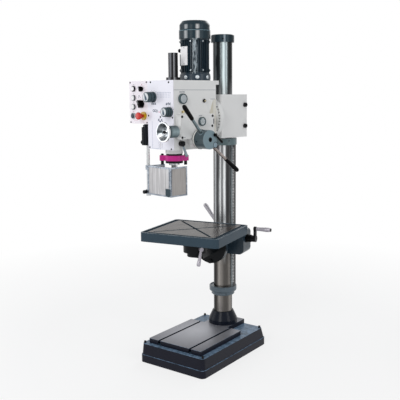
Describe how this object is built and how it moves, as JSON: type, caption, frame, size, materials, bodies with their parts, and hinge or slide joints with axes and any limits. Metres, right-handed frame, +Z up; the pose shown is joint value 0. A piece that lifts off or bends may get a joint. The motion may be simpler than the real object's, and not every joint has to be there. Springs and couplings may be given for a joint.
{
  "type": "geared drill press",
  "caption": "Floor-standing geared drill press: slotted base, round column, rack-lifted tilting table, swivelling gear head with motor, quill feed and chuck guard.",
  "frame": {"origin": "on the floor, on the column axis", "axes": "+Z up the column, -Y to the front of the machine, +X to the side of the feed levers"},
  "size_m": [0.6954, 0.7802, 1.973],
  "materials": {
    "base_paint": "semi-gloss dark blue paint",
    "dark_paint": "semi-gloss dark blue-grey paint",
    "collar_paint": "grey-blue paint",
    "head_paint": "off-white semi-gloss paint",
    "panel_paint": "pale satin panel paint",
    "arm_cast": "dark painted casting",
    "table_iron": "painted casting with ground top",
    "bright_steel": "polished",
    "gear_steel": "machined",
    "black_oxide": "black oxide",
    "motor_paint": "dark painted aluminium",
    "hub_paint": "grey-blue paint",
    "magenta": "magenta coat",
    "black_plastic": "satin black",
    "grey_plastic": "satin grey",
    "white_plastic": "gloss white",
    "red_plastic": "gloss red",
    "yellow_plastic": "gloss yellow",
    "brass": "satin",
    "chrome": "polished",
    "white_scale": "white scale",
    "clear_guard": "clear polycarbonate"
  },
  "bodies": {
    "frame": {"base": "base_paint", "levelling_studs": "black_oxide", "column_flange": "base_paint", "column": "bright_steel", "column_cap": "dark_paint", "rack_collars": "collar_paint", "head_bracket": "head_paint", "bracket_bolts": "black_oxide"},
    "rack": {"rack": "gear_steel"},
    "lift": {"table_bracket": "dark_paint", "crank_bush": "black_plastic"},
    "crank": {"crank": "black_oxide"},
    "crank_grip": {"crank_handle": "bright_steel"},
    "column_clamp": {"column_clamp_lever": "bright_steel"},
    "arm": {"table_arm": "arm_cast", "tilt_bolts": "black_oxide"},
    "table": {"table_top": "table_iron"},
    "table_lock": {"table_lock_lever": "bright_steel"},
    "head": {"head_casting": "head_paint", "head_lid": "head_paint", "front_plate": "panel_paint", "feed_housing": "head_paint", "shaft_cap": "hub_paint", "sight_glass": "chrome", "oil_fittings": "brass", "spindle_tube": "black_plastic", "motor_flange": "motor_paint", "motor_body": "motor_paint", "fan_cover": "dark_paint", "control_box": "head_paint", "control_plate": "panel_paint", "button_bezels": "black_plastic", "stop_collar": "yellow_plastic", "guard_switch": "black_plastic"},
    "rotor": {"motor_rotor": "gear_steel"},
    "counter": {"countershaft": "gear_steel"},
    "drive": {"drive_gear": "gear_steel"},
    "quill": {"quill": "bright_steel", "depth_stop_ring": "magenta", "stop_screws": "black_oxide"},
    "spindle": {"spindle": "bright_steel"},
    "feed": {"feed_hub": "hub_paint", "graduated_ring": "white_scale", "feed_levers": "bright_steel", "lever_grips": "black_plastic"},
    "hub_clamp": {"hub_clamp_lever": "black_plastic"},
    "fine_feed": {"fine_feed_wheel": "chrome", "fine_feed_dial": "hub_paint"},
    "selector_1": {"gear_selector_1": "grey_plastic"},
    "selector_2": {"gear_selector_2": "grey_plastic"},
    "quill_lock": {"quill_lock_lever": "black_plastic"},
    "button_1": {"push_button_1": "white_plastic"},
    "button_2": {"push_button_2": "white_plastic"},
    "button_3": {"push_button_3": "white_plastic"},
    "switch_1": {"rotary_switch_1": "black_plastic"},
    "switch_2": {"rotary_switch_2": "black_plastic"},
    "stop_button": {"emergency_stop": "red_plastic"},
    "guard_post": {"guard_rod": "bright_steel"},
    "guard": {"guard_frame": "black_oxide", "guard_panels": "clear_guard"}
  },
  "joints": [
    {"name": "table_swing", "type": "hinge", "parent": "frame", "child": "rack", "pos_m": [0, 0, 0.7], "axis": [0, 0, 1], "range_deg": [-180, 180]},
    {"name": "table_lift", "type": "slide", "parent": "rack", "child": "lift", "axis": [0, 0, 1], "range_m": [-0.2, 0.165]},
    {"name": "crank_turn", "type": "hinge", "parent": "lift", "child": "crank", "pos_m": [0.1924, 0.00454, 0.7], "axis": [0.9833, 0.1822, 0], "continuous": true},
    {"name": "crank_grip_spin", "type": "hinge", "parent": "crank", "child": "crank_grip", "pos_m": [0.28089, 0.02094, 0.761], "axis": [0.9833, 0.1822, 0], "continuous": true},
    {"name": "column_clamp_turn", "type": "hinge", "parent": "lift", "child": "column_clamp", "pos_m": [-0.01768, 0.09538, 0.715], "axis": [0.9833, 0.1822, 0], "range_deg": [-75, 0]},
    {"name": "table_tilt", "type": "hinge", "parent": "lift", "child": "arm", "pos_m": [0.03244, -0.17502, 0.66], "axis": [-0.1822, 0.9833, 0], "range_deg": [-45, 45]},
    {"name": "table_turn", "type": "hinge", "parent": "arm", "child": "table", "pos_m": [0.07116, -0.38396, 0.7], "axis": [0, 0, 1], "range_deg": [-180, 180]},
    {"name": "table_lock_turn", "type": "hinge", "parent": "arm", "child": "table_lock", "pos_m": [0.1332, -0.42051, 0.706], "axis": [0.8616, -0.5075, 0], "range_deg": [0, 60]},
    {"name": "head_tilt", "type": "hinge", "parent": "frame", "child": "head", "pos_m": [-0.02778, -0.15757, 1.425], "axis": [0.1736, 0.9848, 0], "range_deg": [-45, 45]},
    {"name": "motor_spin", "type": "hinge", "parent": "head", "child": "rotor", "pos_m": [-0.03964, -0.22483, 1.75], "axis": [0, 0, 1], "continuous": true},
    {"name": "counter_spin", "type": "hinge", "parent": "head", "child": "counter", "pos_m": [-0.05423, -0.30756, 1.53], "axis": [0, 0, 1], "continuous": true},
    {"name": "drive_spin", "type": "hinge", "parent": "head", "child": "drive", "pos_m": [-0.06882, -0.39028, 1.507], "axis": [0, 0, 1], "continuous": true},
    {"name": "quill_feed", "type": "slide", "parent": "head", "child": "quill", "axis": [0, 0, -1], "range_m": [0, 0.12], "stiffness_N_per_m": 700, "springref_m": -0.36},
    {"name": "spindle_spin", "type": "hinge", "parent": "quill", "child": "spindle", "pos_m": [-0.06882, -0.39028, 1.3], "axis": [0, 0, 1], "continuous": true},
    {"name": "feed_turn", "type": "hinge", "parent": "head", "child": "feed", "pos_m": [0.13688, -0.37547, 1.317], "axis": [0.9848, -0.1736, 0], "continuous": true},
    {"name": "hub_clamp_turn", "type": "hinge", "parent": "feed", "child": "hub_clamp", "pos_m": [0.18988, -0.35131, 1.342], "axis": [0.9848, -0.1736, 0], "range_deg": [-40, 0]},
    {"name": "fine_feed_spin", "type": "hinge", "parent": "head", "child": "fine_feed", "pos_m": [0.03078, -0.57407, 1.364], "axis": [0.1736, 0.9848, 0], "continuous": true},
    {"name": "selector_1_turn", "type": "hinge", "parent": "head", "child": "selector_1", "pos_m": [-0.15112, -0.51153, 1.549], "axis": [0.1736, 0.9848, 0], "range_deg": [-90, 90]},
    {"name": "selector_2_turn", "type": "hinge", "parent": "head", "child": "selector_2", "pos_m": [-0.01522, -0.53549, 1.468], "axis": [0.1736, 0.9848, 0], "range_deg": [-90, 90]},
    {"name": "quill_lock_turn", "type": "hinge", "parent": "head", "child": "quill_lock", "pos_m": [0.0409, -0.45908, 1.295], "axis": [0.9848, -0.1736, 0], "range_deg": [-60, 0]},
    {"name": "button_1_push", "type": "slide", "parent": "head", "child": "button_1", "axis": [0.1736, 0.9848, 0], "range_m": [0, 0.003], "stiffness_N_per_m": 400, "springref_m": -0.002},
    {"name": "button_2_push", "type": "slide", "parent": "head", "child": "button_2", "axis": [0.1736, 0.9848, 0], "range_m": [0, 0.003], "stiffness_N_per_m": 400, "springref_m": -0.002},
    {"name": "button_3_push", "type": "slide", "parent": "head", "child": "button_3", "axis": [0.1736, 0.9848, 0], "range_m": [0, 0.003], "stiffness_N_per_m": 400, "springref_m": -0.002},
    {"name": "switch_1_turn", "type": "hinge", "parent": "head", "child": "switch_1", "pos_m": [-0.24613, -0.47447, 1.595], "axis": [0.1736, 0.9848, 0], "range_deg": [-45, 45]},
    {"name": "switch_2_turn", "type": "hinge", "parent": "head", "child": "switch_2", "pos_m": [-0.24613, -0.47447, 1.511], "axis": [0.1736, 0.9848, 0], "range_deg": [-60, 60]},
    {"name": "emergency_push", "type": "slide", "parent": "head", "child": "stop_button", "axis": [0.1736, 0.9848, 0], "range_m": [0, 0.005], "stiffness_N_per_m": 800, "springref_m": -0.003},
    {"name": "guard_height", "type": "slide", "parent": "head", "child": "guard_post", "axis": [0, 0, 1], "range_m": [-0.08, 0]},
    {"name": "guard_swing", "type": "hinge", "parent": "guard_post", "child": "guard", "pos_m": [-0.21172, -0.4521, 1.08], "axis": [0, 0, 1], "range_deg": [-100, 0]}
  ],
  "couplings": [
    {"joint": "crank_turn", "follows": "table_lift", "rad_per_m": -47.619},
    {"joint": "feed_turn", "follows": "quill_feed", "rad_per_m": 53.333},
    {"joint": "counter_spin", "follows": "motor_spin", "ratio": -0.47368},
    {"joint": "drive_spin", "follows": "motor_spin", "ratio": 0.3065},
    {"joint": "spindle_spin", "follows": "motor_spin", "ratio": 0.3065}
  ]
}
